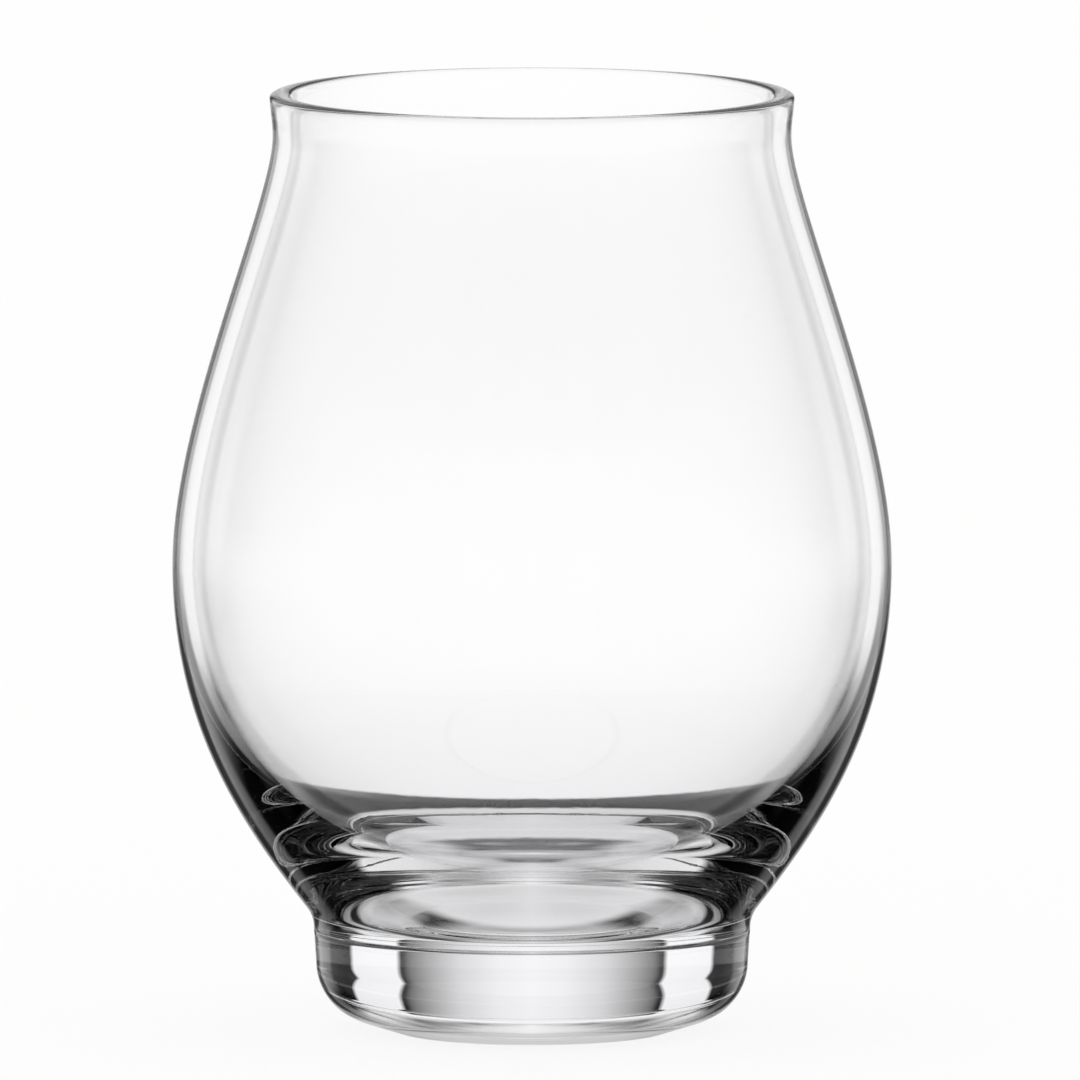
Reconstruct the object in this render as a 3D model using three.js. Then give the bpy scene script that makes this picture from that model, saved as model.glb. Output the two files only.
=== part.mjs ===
// A heavy clear tumbler glass: a blown bowl with a thick floor, fused onto a solid pressed foot.
// Millimetres, +Z up. The axis of the glass is the Z axis, and it stands on the plane Z = 0.
import * as THREE from 'three';

// Foot, the solid disc that the glass stands on
const FOOT_RADIUS = 26.13;         // its side, where the rounded corner ends
const CORNER_RADIUS = 7.2;         // rounding between the side and the sloping edge below it
const EDGE_HEIGHT = 1.45;          // height at which that rounding runs out into the sloping edge
const BASE_SLOPE = 18;             // rise of the sloping edge from the flat underside, degrees
const WAIST_RADIUS = 26.4;         // the flat face where foot and bowl are fused
const WAIST_HEIGHT = 12.4;         // height of that face above the table

// Bowl, outside
const WAIST_FILLET = 4.4;          // hollow curve from the waist out into the bowl
const TAPER_ANGLE = 38.0;          // lean of the bowl where that curve ends, degrees from upright
const BELLY_RADIUS = 43.5;         // widest point
const BELLY_HEIGHT = 56.6;
const NECK_RADIUS = 31.35;         // narrowest point, just under the lip
const NECK_DROP = 5.3;             // depth of that point below the top
const LIP_RADIUS = 31.72;          // middle of the rounded lip's outer side
const LIP_FLARE = 3;               // lean of the lip, degrees from upright
const LIP_ROUND = 0.65;            // height of the rounding on top of the lip
const HEIGHT = 113.9;

// Bowl, inside
const FLOOR_THICKNESS = 1.2;       // glass between the fused face and the inside floor
const BELLY_WALL = 2.4;
const NECK_WALL = 2.25;
const LIP_WALL = 2.5;              // the lip is rounded over its whole width

// How far each end of a curve holds its direction, as a share of the curve's own rise
const TAPER_HOLD = 0.30;
const BELLY_HOLD = 0.472;
const SHOULDER_HOLD = 0.34;
const NECK_HOLD = 0.152;
const INSIDE_NECK_HOLD = 0.16;
const LIP_HOLD = 0.40;
const INSIDE_HOLD = 0.652;
const FLOOR_HOLD = 0.455;          // this one as a share of the inside belly radius

// Steps around the axis, and along each curved stretch of an outline
const TURNS = 64;
const LONG_STEPS = 11;
const SHORT_STEPS = 5;
const LIP_STEPS = 3;

const GLASS = { color: 0xf4f7f6, roughness: 0.02, metalness: 0.0 };

const point = (radius, height) => new THREE.Vector2(radius, height);
const radians = THREE.MathUtils.degToRad;

// An arrow of a given length that leans outward from upright by an angle in degrees
function arrow(lean, length) {
  return point(Math.sin(radians(lean)), Math.cos(radians(lean))).multiplyScalar(length);
}

// A cubic curve between two points; each hold is the arrow from a point to its control point
function sweep(from, fromHold, to, toHold, steps) {
  const first = from.clone().add(fromHold);
  const second = to.clone().add(toHold);
  return new THREE.CubicBezierCurve(from, first, second, to).getPoints(steps);
}

// An elliptical arc between two angles in degrees, counted from outward towards up
function arc(centre, width, height, fromDegrees, toDegrees, steps) {
  const from = radians(fromDegrees);
  const to = radians(toDegrees);
  const clockwise = to < from;
  const curve = new THREE.EllipseCurve(centre.x, centre.y, width, height, from, to, clockwise);
  return curve.getPoints(steps);
}

// Joins stretches of outline end to end, keeping one of each pair of meeting points
function outline(...stretches) {
  const points = [];
  for (const next of stretches.flat()) {
    const last = points.at(-1);
    if (!last || last.distanceTo(next) > 1e-6) points.push(next);
  }
  return points;
}

// A solid of revolution about Z, from an outline that starts and ends on the axis
function turned(name, points) {
  const geometry = new THREE.LatheGeometry(points, TURNS);
  geometry.rotateX(Math.PI / 2);
  const mesh = new THREE.Mesh(geometry, new THREE.MeshStandardMaterial(GLASS));
  mesh.name = name;
  return mesh;
}

// Foot: flat underneath, a sloping edge, a rounded corner, a nearly upright side and the flat fused face
function makeFoot() {
  const slope = radians(BASE_SLOPE);
  const cornerHeight = EDGE_HEIGHT + CORNER_RADIUS * Math.cos(slope);
  const corner = point(FOOT_RADIUS - CORNER_RADIUS, cornerHeight);
  const rounding = arc(corner, CORNER_RADIUS, CORNER_RADIUS, BASE_SLOPE - 90, 0, SHORT_STEPS);
  const flatRadius = rounding.at(0).x - EDGE_HEIGHT / Math.tan(slope);
  return turned('foot', outline(
    [point(0, 0), point(flatRadius, 0)],
    rounding,
    [point(WAIST_RADIUS, WAIST_HEIGHT), point(0, WAIST_HEIGHT)],
  ));
}

// Outside of the bowl, from the fused face up to the lip
function bowlOutside(lipSide) {
  const fillet = point(WAIST_RADIUS + WAIST_FILLET, WAIST_HEIGHT);
  const hollow = arc(fillet, WAIST_FILLET, WAIST_FILLET, 180, 180 - TAPER_ANGLE, SHORT_STEPS);
  const taper = hollow.at(-1);
  const belly = point(BELLY_RADIUS, BELLY_HEIGHT);
  const neck = point(NECK_RADIUS, HEIGHT - NECK_DROP);
  const lowRise = belly.y - taper.y;
  const highRise = neck.y - belly.y;
  const lipRise = lipSide.y - neck.y;
  const along = arrow(TAPER_ANGLE, TAPER_HOLD * lowRise);
  return [
    hollow,
    sweep(taper, along, belly, arrow(0, -BELLY_HOLD * lowRise), LONG_STEPS),
    sweep(belly, arrow(0, SHOULDER_HOLD * highRise), neck, arrow(0, -NECK_HOLD * highRise), LONG_STEPS),
    sweep(neck, arrow(0, LIP_HOLD * lipRise), lipSide, arrow(LIP_FLARE, -LIP_HOLD * lipRise), SHORT_STEPS),
  ];
}

// Inside of the bowl, from the lip down to the middle of the floor
function bowlInside(lipSide) {
  const neck = point(NECK_RADIUS - NECK_WALL, HEIGHT - NECK_DROP);
  const belly = point(BELLY_RADIUS - BELLY_WALL, BELLY_HEIGHT);
  const floor = point(0, WAIST_HEIGHT + FLOOR_THICKNESS);
  const lipDrop = lipSide.y - neck.y;
  const highDrop = neck.y - belly.y;
  const lowDrop = belly.y - floor.y;
  const down = arrow(0, -INSIDE_NECK_HOLD * highDrop);
  const outward = point(FLOOR_HOLD * belly.x, 0);
  return [
    sweep(lipSide, arrow(LIP_FLARE, -LIP_HOLD * lipDrop), neck, arrow(0, LIP_HOLD * lipDrop), SHORT_STEPS),
    sweep(neck, down, belly, arrow(0, SHOULDER_HOLD * highDrop), LONG_STEPS),
    sweep(belly, arrow(0, -INSIDE_HOLD * lowDrop), floor, outward, LONG_STEPS),
  ];
}

// Bowl: fused face, outside, rounded lip, inside
function makeBowl() {
  const half = LIP_WALL / 2;
  const lip = point(LIP_RADIUS - half, HEIGHT - LIP_ROUND);
  const outerHalf = arc(lip, half, LIP_ROUND, -LIP_FLARE, 90, LIP_STEPS);
  const innerHalf = arc(lip, half, LIP_ROUND, 90, 180 - LIP_FLARE, LIP_STEPS);
  return turned('bowl', outline(
    [point(0, WAIST_HEIGHT)],
    ...bowlOutside(outerHalf.at(0)),
    outerHalf,
    innerHalf,
    ...bowlInside(innerHalf.at(-1)),
  ));
}

const tumbler = new THREE.Group();
tumbler.name = 'tumbler_glass';
tumbler.add(makeFoot(), makeBowl());

export default tumbler;
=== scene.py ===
# %% [markdown]
# A heavy clear tumbler: a round-bellied bowl on a short solid foot, all of one clear crystal.
# The solid model gives the size and the place of everything, so it is loaded first and kept as it is.

# %% Load the solid model
import math

import bmesh
import bpy
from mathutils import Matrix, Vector
from mathutils.geometry import interpolate_bezier


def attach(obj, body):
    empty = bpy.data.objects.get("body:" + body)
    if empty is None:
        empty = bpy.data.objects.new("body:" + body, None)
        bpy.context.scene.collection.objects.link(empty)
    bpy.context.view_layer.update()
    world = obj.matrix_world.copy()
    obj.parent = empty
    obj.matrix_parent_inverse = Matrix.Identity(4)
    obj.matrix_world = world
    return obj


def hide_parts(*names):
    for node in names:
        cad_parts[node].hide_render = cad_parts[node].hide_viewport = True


MM = 0.001


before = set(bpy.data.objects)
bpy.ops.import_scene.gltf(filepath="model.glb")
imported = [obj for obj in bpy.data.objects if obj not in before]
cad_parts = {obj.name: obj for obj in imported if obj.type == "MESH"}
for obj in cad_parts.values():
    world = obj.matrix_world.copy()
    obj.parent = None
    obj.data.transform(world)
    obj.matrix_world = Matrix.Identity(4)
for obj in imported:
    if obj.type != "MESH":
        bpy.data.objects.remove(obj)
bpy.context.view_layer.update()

# %% [markdown]
# The picture was taken with a long lens from far off. Here the camera stands six metres away, a little
# above the rim. A short lens close by would also fill the frame, but from there the rim would look too wide
# for the belly. The long lens keeps rim and foot in their true proportion, which is what the eye checks
# first on a round glass. The camera stands a millimetre to the right of the middle, so that the glass sits
# a touch to the left, as in the picture.

# %% Camera
CAMERA_ASIDE, CAMERA_AWAY, CAMERA_HEIGHT = 0.96 * MM, 6.0, 0.71182
LOOK_DOWN = math.radians(6.2046)
SENSOR_WIDTH, LENS = 36, 1664.0

camera = bpy.data.objects.new("camera", bpy.data.cameras.new("camera"))
bpy.context.scene.collection.objects.link(camera)
camera.data.sensor_width = SENSOR_WIDTH
camera.data.lens = LENS
camera.location = (CAMERA_ASIDE, -CAMERA_AWAY, CAMERA_HEIGHT)
camera.rotation_euler = (math.radians(90) - LOOK_DOWN, 0, 0)
bpy.context.scene.camera = camera
bpy.context.scene.view_settings.view_transform = "Standard"
print("lens:", LENS, "mm, looking down", round(math.degrees(LOOK_DOWN), 1), "degrees")

# %% [markdown]
# Every material here is a small tree of nodes. One function adds a node: it takes the node's settings by
# name, and its inputs either as plain values or as another node, or one of its outputs, to link from.
# Three short forms of it follow: for a sum, for a mix of two colours and for a smooth fade.
# Colours are written as the hex values a screen shows, and one function turns them into the linear light
# that Blender works in. A ramp takes its stops as pairs of place and light, from black at 0 to white at 1.

# %% Node and colour helpers
def linear(hex_colour):
    parts = [int(hex_colour[i:i + 2], 16) / 255 for i in (0, 2, 4)]
    return [p / 12.92 if p <= 0.04045 else ((p + 0.055) / 1.055) ** 2.4 for p in parts] + [1.0]


def add(tree, kind, inputs=None, stops=(), **settings):
    made = tree.nodes.new(kind)
    for name, value in settings.items():
        setattr(made, name, value)
    for name, value in (inputs or {}).items():
        value = value.outputs[0] if isinstance(value, bpy.types.Node) else value
        if isinstance(value, bpy.types.NodeSocket):
            tree.links.new(value, made.inputs[name])
        else:
            made.inputs[name].default_value = value
    for number, (place, light) in enumerate(stops):
        ends = {0: 0, len(stops) - 1: -1}
        ramp = made.color_ramp.elements
        stop = ramp[ends[number]] if number in ends else ramp.new(place)
        stop.position = place
        stop.color = (light, light, light, 1)
    return made


def calc(tree, operation, *values):
    return add(tree, "ShaderNodeMath", dict(enumerate(values)), operation=operation)


def blend(tree, share, first, second):
    return add(tree, "ShaderNodeMix", {0: share, 6: first, 7: second}, data_type="RGBA").outputs[2]


def fade(tree, value, start, end, **ends):
    inputs = {"Value": value, "From Min": start, "From Max": end}
    inputs.update(ends)
    return add(tree, "ShaderNodeMapRange", inputs, interpolation_type="SMOOTHSTEP")


def new_tree(owner):
    owner.use_nodes = True
    owner.node_tree.nodes.clear()
    return owner.node_tree


WHITE = linear("FFFFFF")
PALE = linear("F6F6F4")
print("pale floor colour in linear light:", [round(v, 3) for v in PALE])

# %% [markdown]
# Clear glass has hardly any colour of its own: it shows the room, bent and mirrored. A photographer who
# lights such a glass puts a white sheet behind it and black cards beside it, so that the clear middle stays
# bright and every edge gets a dark line. This room is made the same way, as a few belts of light and dark
# round the glass. Each belt has a height in degrees above the horizon, and stops that go from straight
# behind the glass (0) round to the camera's side (180), the same to the left and to the right.
# Light that goes straight through the foot sees the tall panel behind it. Light that the glass has mirrored
# once makes the edges of the bowl, and light mirrored more often makes the dark, heavy look of the base.
# So there is a list of belts for each of the three, which is easier to set than one room for all.

# %% Belts of the room
PANEL = [(0, 0.96), (6, 0.91), (13.5, 0.72), (20, 0.42), (25, 0.18), (26.8, 0.02), (27.8, 0.02),
         (28.5, 1.0), (45, 1.0), (47, 0.0), (74, 0.02), (86, 0.25), (105, 0.35)]
BELTS = {
    "straight": [
        (-40, [(0, 0.75), (90, 0.75)]),
        (-34, [(0, 0.02), (5, 0.04), (10, 0.65)]),
        (-29.5, [(0, 0.02), (3, 0.04), (6, 0.06), (10, 0.45)]),
        (-27.5, [(0, 0.04), (2, 0.10), (3.2, 0.25), (10, 0.50)]),
        (-24, [(0, 0.28), (10, 0.55)]),
        (-6, PANEL),
        (20, PANEL),
        (34, [(0, 0.90), (90, 0.90)]),
    ],
    "once": [
        (-70, [(0, 0.75), (28, 0.44), (36, 0.14), (62, 0.01), (95, 0.25)]),
        (-46, [(0, 0.81), (18, 0.75), (23, 0.02), (66, 0.00), (100, 0.14), (140, 0.31)]),
        (-36, [(0, 0.44), (10, 0.44), (15, 0.01), (62, 0.00), (98, 0.31), (140, 0.50)]),
        (-24, [(0, 0.69), (9, 0.50), (13, 0.02), (19, 0.02), (22, 0.35), (30, 0.37), (34, 0.01),
               (48, 0.01), (56, 0.25), (100, 0.63), (140, 0.86)]),
        (-12, [(0, 0.65), (9, 0.45), (13, 0.06), (21, 0.10), (24, 0.95), (40, 0.90), (45, 0.25),
               (60, 0.25), (75, 0.60), (110, 0.90)]),
        (-1, [(0, 0.80), (7, 0.60), (10, 0.10), (17, 0.14), (20, 1.00), (36, 1.00), (40, 0.85),
              (62, 0.80), (110, 0.95)]),
        (16, [(0, 0.85), (6, 0.50), (9, 0.14), (13, 0.20), (16, 0.95), (34, 0.90), (44, 0.50),
              (52, 0.70), (110, 0.90)]),
        (34, [(0, 0.85), (40, 0.70), (120, 0.85)]),
    ],
    "often": [
        (-60, [(0, 0.64), (30, 0.93), (100, 0.64), (150, 0.11)]),
        (-36, [(0, 0.83), (16, 0.78), (70, 0.11), (100, 0.02)]),
        (-20, [(0, 0.78), (4, 0.05), (10, 0.78), (33, 0.83), (38, 0.64), (42, 0.01)]),
        (-8, [(0, 0.64), (5, 0.05), (10, 0.11), (15, 0.64), (28, 0.83), (44, 0.93), (48, 0.00)]),
        (4, [(0, 0.89), (7, 0.57), (12, 0.11), (21, 0.71), (34, 0.64), (44, 0.93), (48, 0.04), (56, 0.00)]),
        (26, [(0, 0.96), (10, 0.78), (18, 0.36), (28, 0.17), (38, 0.89), (46, 0.93), (54, 0.00)]),
        (44, [(0, 0.96), (16, 0.78), (26, 0.29), (42, 0.83), (54, 0.57), (64, 0.01)]),
        (60, [(0, 0.89), (50, 0.36), (80, 0.50)]),
    ],
}
print("belts of the room:", {name: len(belts) for name, belts in BELTS.items()})

# %% [markdown]
# The world node tree turns the way a ray goes into two angles: how far it has turned from straight behind
# the glass, and how high it rises. Each list becomes one ramp per belt, and neighbouring belts fade into
# each other. The camera itself, and the soft light on the floor, get plain white, so that the glass stands
# in a white room.

# %% White room
world = bpy.data.worlds.new("white_room")
bpy.context.scene.world = world
tree = new_tree(world)
way = add(tree, "ShaderNodeTexCoord").outputs["Generated"]
way = add(tree, "ShaderNodeSeparateXYZ", {0: way})
turn = calc(tree, "ARCTAN2", way.outputs["X"], way.outputs["Y"])
half_turns = calc(tree, "DIVIDE", calc(tree, "ABSOLUTE", turn), math.pi)
rise = calc(tree, "DIVIDE", calc(tree, "ARCSINE", way.outputs["Z"]), math.radians(1))
rooms = {}
for name, belts in BELTS.items():
    below = None
    for height, stops in belts:
        ramp_stops = [(angle / 180, light) for angle, light in stops]
        belt = add(tree, "ShaderNodeValToRGB", {0: half_turns}, stops=ramp_stops).outputs[0]
        if below is None:
            rooms[name] = belt
        else:
            rooms[name] = blend(tree, fade(tree, rise, below, height), rooms[name], belt)
        below = height

path = add(tree, "ShaderNodeLightPath")
mirrored = calc(tree, "GREATER_THAN", path.outputs["Glossy Depth"], 0.5)
again = calc(tree, "GREATER_THAN", path.outputs["Glossy Depth"], 1.5)
room = blend(tree, mirrored, rooms["straight"], rooms["once"])
room = blend(tree, again, room, rooms["often"])
plain = calc(tree, "MAXIMUM", path.outputs["Is Diffuse Ray"], path.outputs["Is Camera Ray"])
white = add(tree, "ShaderNodeBackground", {"Color": WHITE, "Strength": 1.0})
cards = add(tree, "ShaderNodeBackground", {"Color": room, "Strength": 1.0})
seen = add(tree, "ShaderNodeMixShader", {"Fac": plain, 1: cards, 2: white})
add(tree, "ShaderNodeOutputWorld", {"Surface": seen})
print("room nodes:", len(tree.nodes))

# %% [markdown]
# The glass stands on a plain pale table that runs on behind it without an edge. It could be a bent backdrop,
# but a flat sheet is enough, because table and room are the same white.
# To the camera the table is nearly white and keeps a trace of the glass's soft shadow. Light that comes
# straight through both walls of the bowl sees the white table too, so the bowl looks empty and clear.
# Close around the foot this ends, and all other light from the glass goes through the sheet to the belts.

# %% Floor
FLOOR_REACH = 20
CLEAR_FROM, CLEAR_TO = 59.5, 62.5
MATT_SHARE = 0.12


def link(name, mesh):
    made = bpy.data.objects.new(name, mesh)
    bpy.context.scene.collection.objects.link(made)
    return made


build = bmesh.new()
bmesh.ops.create_grid(build, x_segments=1, y_segments=1, size=FLOOR_REACH)
floor = link("floor", bpy.data.meshes.new("floor"))
build.to_mesh(floor.data)
build.free()

table = bpy.data.materials.new("pale_table")
tree = new_tree(table)
path = add(tree, "ShaderNodeLightPath")
place = add(tree, "ShaderNodeTexCoord").outputs["Object"]
away = add(tree, "ShaderNodeVectorMath", {0: place}, operation="LENGTH").outputs["Value"]
clear_of_foot = fade(tree, away, CLEAR_FROM * MM, CLEAR_TO * MM)
straight = calc(tree, "LESS_THAN", path.outputs["Glossy Depth"], 0.5)
both_walls = calc(tree, "GREATER_THAN", path.outputs["Transmission Depth"], 3.5)
seen = calc(tree, "MULTIPLY", calc(tree, "MULTIPLY", straight, both_walls), clear_of_foot)
seen = calc(tree, "MAXIMUM", seen, path.outputs["Is Camera Ray"])
soft = calc(tree, "MAXIMUM", path.outputs["Is Diffuse Ray"], path.outputs["Is Shadow Ray"])
matt = add(tree, "ShaderNodeBsdfDiffuse", {"Color": PALE})
white = add(tree, "ShaderNodeEmission", {"Color": WHITE, "Strength": 1.0})
pale = add(tree, "ShaderNodeMixShader", {"Fac": MATT_SHARE, 1: white, 2: matt})
open_way = add(tree, "ShaderNodeBsdfTransparent", {"Color": WHITE})
mix = add(tree, "ShaderNodeMixShader", {"Fac": seen, 1: open_way, 2: pale})
mix = add(tree, "ShaderNodeMixShader", {"Fac": soft, 1: mix, 2: matt})
add(tree, "ShaderNodeOutputMaterial", {"Surface": mix})
floor.data.materials.append(table)
print("floor:", [round(v, 1) for v in floor.dimensions], "metres")

# %% [markdown]
# A ring of white paper stands round the bowl, out of sight of the camera. It does one thing: whatever is
# seen straight through the thin walls, from any side, is white paper. A larger ring would do the same for
# the bowl, but then the foot would see it too, and the foot should show the dark and light panels instead.

# %% Paper ring
RING_RADIUS, RING_LOW, RING_HIGH = 60, 30, 130
RING_SEGMENTS = 96

build = bmesh.new()
bmesh.ops.create_circle(build, segments=RING_SEGMENTS, radius=RING_RADIUS * MM)
bmesh.ops.translate(build, vec=(0, 0, RING_LOW * MM), verts=build.verts)
raised = bmesh.ops.extrude_edge_only(build, edges=build.edges[:])
upper = [part for part in raised["geom"] if isinstance(part, bmesh.types.BMVert)]
bmesh.ops.translate(build, vec=(0, 0, (RING_HIGH - RING_LOW) * MM), verts=upper)
paper = link("paper_ring", bpy.data.meshes.new("paper_ring"))
build.to_mesh(paper.data)
build.free()

white_paper = bpy.data.materials.new("white_paper")
tree = new_tree(white_paper)
path = add(tree, "ShaderNodeLightPath")
straight = calc(tree, "LESS_THAN", path.outputs["Glossy Depth"], 0.5)
through = calc(tree, "GREATER_THAN", path.outputs["Transmission Depth"], 1.5)
seen = calc(tree, "MULTIPLY", straight, through)
white = add(tree, "ShaderNodeEmission", {"Color": WHITE, "Strength": 1.0})
open_way = add(tree, "ShaderNodeBsdfTransparent", {"Color": WHITE})
mix = add(tree, "ShaderNodeMixShader", {"Fac": seen, 1: open_way, 2: white})
add(tree, "ShaderNodeOutputMaterial", {"Surface": mix})
paper.data.materials.append(white_paper)
paper.visible_camera = False
paper.visible_diffuse = False
paper.visible_shadow = False
print("paper ring:", [round(v / MM) for v in paper.dimensions], "mm")

# %% [markdown]
# The glass is round, so each piece is one outline in millimetres, turned once about the axis. It could be
# carved from a subdivided cage, but refraction shows every small dent, and a spun outline is exact all the
# way round. An outline is made of straight runs, arcs and smooth curves. A curve leaves its first point along
# one arrow and comes into its last point along another. Each of them leaves out its own first point, so that
# they can be chained.

# %% Outline helpers
def point(radius, height):
    return Vector((radius * MM, 0, height * MM))


def lean(degrees_from_upright, length):
    turned = math.radians(degrees_from_upright)
    return Vector((math.sin(turned), 0, math.cos(turned))) * length


def run(start, end, steps):
    return [start.lerp(end, i / steps) for i in range(1, steps + 1)]


def sweep(start, start_hold, end, end_hold, steps):
    return interpolate_bezier(start, start + start_hold, end + end_hold, end, steps + 1)[1:]


def arc(centre, wide, high, first, last, steps):
    turns = [math.radians(first + (last - first) * i / steps) for i in range(1, steps + 1)]
    return [centre + Vector((wide * math.cos(t), 0, high * math.sin(t))) * MM for t in turns]


print("a lean of 38 degrees, 10 mm long, goes out by", round(lean(38, 10).x, 2), "mm")

# %% [markdown]
# The spin makes a full turn and closes itself, and points that fall together on the axis are merged, so that
# the piece is one closed skin with its faces outwards. The flat face where bowl and foot are fused gets the
# second material, because no eye can see that joint in the real glass.

# %% Spin an outline into a piece
TURNS = 256


def spun(name, outline, joint_height):
    build = bmesh.new()
    corners = [build.verts.new(p) for p in outline]
    edges = [build.edges.new(pair) for pair in zip(corners, corners[1:])]
    bmesh.ops.spin(build, geom=corners + edges, cent=(0, 0, 0), axis=(0, 0, 1), angle=2 * math.pi,
                   steps=TURNS, use_merge=True)
    bmesh.ops.remove_doubles(build, verts=build.verts, dist=1e-6)
    bmesh.ops.dissolve_degenerate(build, edges=build.edges, dist=1e-7)
    bmesh.ops.recalc_face_normals(build, faces=build.faces)
    for face in build.faces:
        in_joint = all(abs(v.co.z - joint_height * MM) < 1e-6 for v in face.verts)
        face.smooth = not in_joint
        face.material_index = 1 if in_joint else 0
    open_edges = sum(1 for edge in build.edges if len(edge.link_faces) != 2)
    millilitres = round(build.calc_volume(signed=True) / MM ** 3 / 1000, 1)
    piece = link(name, bpy.data.meshes.new(name))
    build.to_mesh(piece.data)
    build.free()
    print(name, "faces", len(piece.data.polygons), "open edges", open_edges, "glass in ml", millilitres)
    return piece


# %% [markdown]
# The foot is the second gather of glass, pressed onto the hot bowl: a solid disc with an upright side, a soft
# corner, and an edge that slopes up from the flat underside. The soft corner is what makes the bright panel
# in the foot pinch in at mid-height, so its radius matters more than it seems.

# %% Foot
FOOT_RADIUS, CORNER_RADIUS, EDGE_HEIGHT, BASE_SLOPE = 26.13, 7.2, 1.45, 18.0
WAIST_RADIUS, WAIST_HEIGHT = 26.4, 12.4
RUN_STEPS, CORNER_STEPS, JOINT_STEPS = 6, 30, 4

slope = math.radians(BASE_SLOPE)
corner_height = EDGE_HEIGHT + CORNER_RADIUS * math.cos(slope)
corner = point(FOOT_RADIUS - CORNER_RADIUS, corner_height)
edge = corner + lean(180 - BASE_SLOPE, CORNER_RADIUS * MM)
flat = edge - Vector((edge.z / math.tan(slope), 0, edge.z))
foot_side = point(FOOT_RADIUS, corner_height)
waist = point(WAIST_RADIUS, WAIST_HEIGHT)
joint_middle = point(0, WAIST_HEIGHT)

foot_outline = [point(0, 0)]
foot_outline += run(point(0, 0), flat, RUN_STEPS)
foot_outline += run(flat, edge, RUN_STEPS)
foot_outline += arc(corner, CORNER_RADIUS, CORNER_RADIUS, BASE_SLOPE - 90, 0, CORNER_STEPS)
foot_outline += run(foot_side, waist, RUN_STEPS)
foot_outline += run(waist, joint_middle, JOINT_STEPS)
foot = spun("foot_gather", foot_outline, WAIST_HEIGHT)
print("flat underside, radius in mm:", round(flat.x / MM, 2))

# %% [markdown]
# The bowl is the first gather, blown round. Its outside leaves the waist in a small hollow, swells to the
# belly, draws in to the neck and opens a hair at the lip. The lip is melted round by a flame after it has
# been cut, so it gets a low round cap and not a sharp edge. The cap starts one step early, because an arc
# leaves out its first point and the outside has to end on the cap.

# %% Bowl, outside and lip
WAIST_FILLET, TAPER_ANGLE = 4.4, 38.0
BELLY_RADIUS, BELLY_HEIGHT = 43.5, 56.6
NECK_RADIUS, NECK_DROP, HEIGHT = 31.35, 5.3, 113.9
LIP_RADIUS, LIP_FLARE, LIP_ROUND, LIP_WALL = 31.72, 3.0, 0.65, 2.5
TAPER_HOLD, BELLY_HOLD, SHOULDER_HOLD, NECK_HOLD, LIP_HOLD = 0.30, 0.472, 0.34, 0.152, 0.40
HOLLOW_STEPS, WALL_STEPS, LIP_STEPS, CAP_STEPS = 12, 36, 8, 20

belly = point(BELLY_RADIUS, BELLY_HEIGHT)
neck = point(NECK_RADIUS, HEIGHT - NECK_DROP)
lip = point(LIP_RADIUS - LIP_WALL / 2, HEIGHT - LIP_ROUND)
early = -LIP_FLARE - 180 / CAP_STEPS
cap = arc(lip, LIP_WALL / 2, LIP_ROUND, early, 180 - LIP_FLARE, CAP_STEPS + 1)
fillet = point(WAIST_RADIUS + WAIST_FILLET, WAIST_HEIGHT)
hollow = arc(fillet, WAIST_FILLET, WAIST_FILLET, 180, 180 - TAPER_ANGLE, HOLLOW_STEPS)
taper = hollow[-1]
low = belly.z - taper.z
high = neck.z - belly.z
lip_rise = cap[0].z - neck.z
lip_side = lean(LIP_FLARE, -LIP_HOLD * lip_rise)

outside = [joint_middle] + run(joint_middle, waist, JOINT_STEPS) + hollow
outside += sweep(taper, lean(TAPER_ANGLE, TAPER_HOLD * low), belly, lean(0, -BELLY_HOLD * low), WALL_STEPS)
outside += sweep(belly, lean(0, SHOULDER_HOLD * high), neck, lean(0, -NECK_HOLD * high), WALL_STEPS)
outside += sweep(neck, lean(0, LIP_HOLD * lip_rise), cap[0], lip_side, LIP_STEPS)
print("outline of the outside:", len(outside), "points, up to", round(outside[-1].z / MM, 2), "mm")

# %% [markdown]
# The inside can't be measured in a picture of a clear glass, but it can be read from where the edges of the
# wall bend the light: the wall stays a little over two millimetres from neck to belly and then thickens to a
# heavy base. The middle of the inside floor needs many small steps, because the foot below works as a strong
# lens for it.

# %% Bowl, inside
FLOOR_THICKNESS, BELLY_WALL, NECK_WALL = 1.2, 2.4, 2.25
INSIDE_NECK_HOLD, INSIDE_HOLD, FLOOR_HOLD = 0.16, 0.652, 0.455
FLOOR_STEPS = 120

inner_neck = point(NECK_RADIUS - NECK_WALL, HEIGHT - NECK_DROP)
inner_belly = point(BELLY_RADIUS - BELLY_WALL, BELLY_HEIGHT)
inner_floor = point(0, WAIST_HEIGHT + FLOOR_THICKNESS)
inner_rise = cap[-1].z - inner_neck.z
drop = inner_belly.z - inner_floor.z
lip_down = lean(LIP_FLARE, -LIP_HOLD * inner_rise)
neck_down = lean(0, -INSIDE_NECK_HOLD * high)
outward = Vector((FLOOR_HOLD * inner_belly.x, 0, 0))

inside = sweep(cap[-1], lip_down, inner_neck, lean(0, LIP_HOLD * inner_rise), LIP_STEPS)
inside += sweep(inner_neck, neck_down, inner_belly, lean(0, SHOULDER_HOLD * high), WALL_STEPS)
inside += sweep(inner_belly, lean(0, -INSIDE_HOLD * drop), inner_floor, outward, FLOOR_STEPS)
bowl = spun("bowl_gather", outside + cap[1:] + inside, WAIST_HEIGHT)

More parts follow.
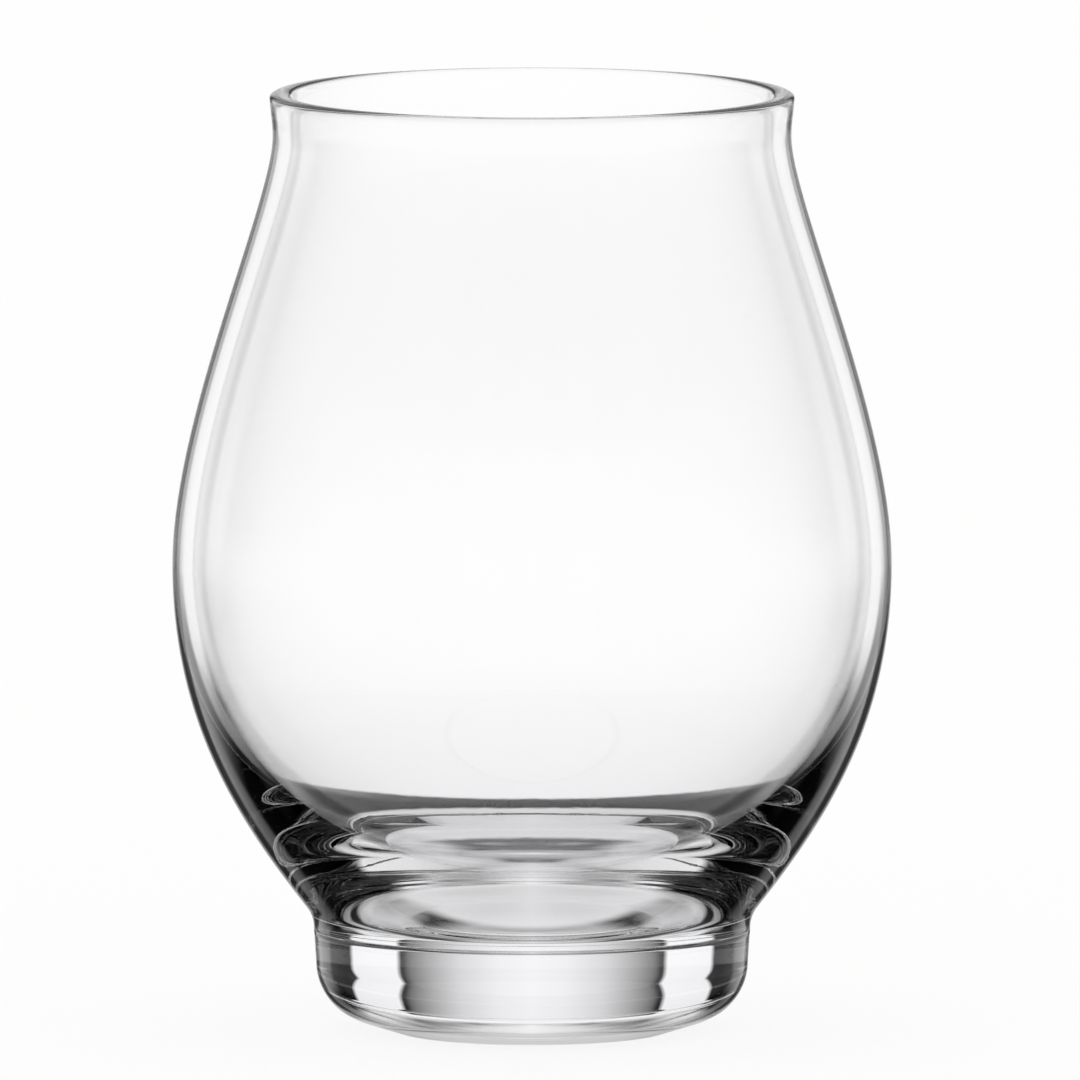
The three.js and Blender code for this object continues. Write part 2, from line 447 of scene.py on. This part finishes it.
# %% [markdown]
# The glass is lead-free crystal, blown and fire-polished: smooth to the touch, bright, nearly colourless.
# A plain glass shader would look like a computer's glass, because a real one is never quite even.
# Fire leaves long shallow waves on the surface. Where bowl and foot were fused, the glass flowed, and left
# fine wavy lines in the heavy lower wall. Here and there a seed, a bubble too small to lift out, sits at the
# surface. All three go into the height of a bump, in metres, with scales from their sizes in millimetres.
# Thick glass also shows a faint cool tint, so the colour goes a touch bluer towards the base.

# %% Crystal glass
WAVE_LENGTH, WAVE_HEIGHT = 14, 0.001
FLOW_LENGTH, FLOW_HEIGHT = 7, 0.003
FLOW_STARTS, FLOW_FULL, FLOW_THINS, FLOW_ENDS = 9, 15, 26, 46
SEED_SPACING, SEED_RADIUS, SEED_DEPTH = 16, 0.15, 0.04
TINT_STARTS, TINT_FULL = 40, 10
CRYSTAL_INDEX = 1.52

crystal = bpy.data.materials.new("fire_polished_crystal")
tree = new_tree(crystal)
place = add(tree, "ShaderNodeTexCoord").outputs["Object"]
height = add(tree, "ShaderNodeSeparateXYZ", {0: place}).outputs["Z"]
waves = add(tree, "ShaderNodeTexNoise", {"Vector": place, "Scale": 1 / (WAVE_LENGTH * MM), "Detail": 1.0})
waves = calc(tree, "MULTIPLY", waves, WAVE_HEIGHT * MM)

flattened = add(tree, "ShaderNodeMapping", {"Vector": place, "Scale": (1, 1, 2.2)})
flow = add(tree, "ShaderNodeTexNoise", {"Vector": flattened, "Scale": 1 / (FLOW_LENGTH * MM), "Detail": 2.0,
                                        "Distortion": 1.2})
below_belly = fade(tree, height, FLOW_ENDS * MM, FLOW_THINS * MM)
above_foot = fade(tree, height, FLOW_STARTS * MM, FLOW_FULL * MM)
flow = calc(tree, "MULTIPLY", calc(tree, "MULTIPLY", flow, below_belly), above_foot)

seeds = add(tree, "ShaderNodeTexVoronoi", {"Vector": place, "Scale": 1 / (SEED_SPACING * MM)})
dent = {"To Min": -SEED_DEPTH * MM, "To Max": 0}
seeds = fade(tree, seeds.outputs["Distance"], 0, SEED_RADIUS / SEED_SPACING, **dent)
surface = calc(tree, "MULTIPLY_ADD", flow, FLOW_HEIGHT * MM, waves)
surface = calc(tree, "ADD", surface, seeds)
bump = add(tree, "ShaderNodeBump", {"Height": surface, "Strength": 1.0, "Distance": 1.0})

thick = {"Value": height, "From Min": TINT_STARTS * MM, "From Max": TINT_FULL * MM}
tint = blend(tree, add(tree, "ShaderNodeMapRange", thick), WHITE, linear("FBFBFD"))
shader = add(tree, "ShaderNodeBsdfPrincipled", {"Base Color": tint, "Roughness": 0.0, "IOR": CRYSTAL_INDEX,
                                                "Transmission Weight": 1.0, "Normal": bump})
add(tree, "ShaderNodeOutputMaterial", {"Surface": shader})
print("crystal: waves every", WAVE_LENGTH, "mm, flow lines every", FLOW_LENGTH, "mm")
print("seeds:", 2 * SEED_RADIUS, "mm wide, about", SEED_SPACING, "mm apart")

# %% [markdown]
# Glass that was melted together has no surface inside it, so nothing bends or shines at the joint. The two
# joint faces could be left out, but then the pieces would be open shells. They stay, and are fully clear.

# %% Fused joint
fused = bpy.data.materials.new("fused_joint")
tree = new_tree(fused)
clear = add(tree, "ShaderNodeBsdfTransparent", {"Color": WHITE})
add(tree, "ShaderNodeOutputMaterial", {"Surface": clear})

for piece, node in ((foot, "foot"), (bowl, "bowl")):
    piece.data.materials.append(crystal)
    piece.data.materials.append(fused)
    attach(piece, "root")
    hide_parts(node)
    joint_faces = sum(1 for face in piece.data.polygons if face.material_index == 1)
    print(piece.name, "stands for", node, "with", joint_faces, "joint faces")

# %% [markdown]
# Light may cross six walls and be mirrored many times in the foot before it leaves the glass. The usual
# limit of a few bounces would end those paths in black, so the limit is raised well above it.

# %% Bounces of light
BOUNCES = 32

cycles = bpy.context.scene.cycles
for limit in ("max_bounces", "transmission_bounces", "glossy_bounces", "transparent_max_bounces"):
    setattr(cycles, limit, BOUNCES)
cycles.caustics_reflective = True
cycles.caustics_refractive = True
print("bounces:", cycles.max_bounces)
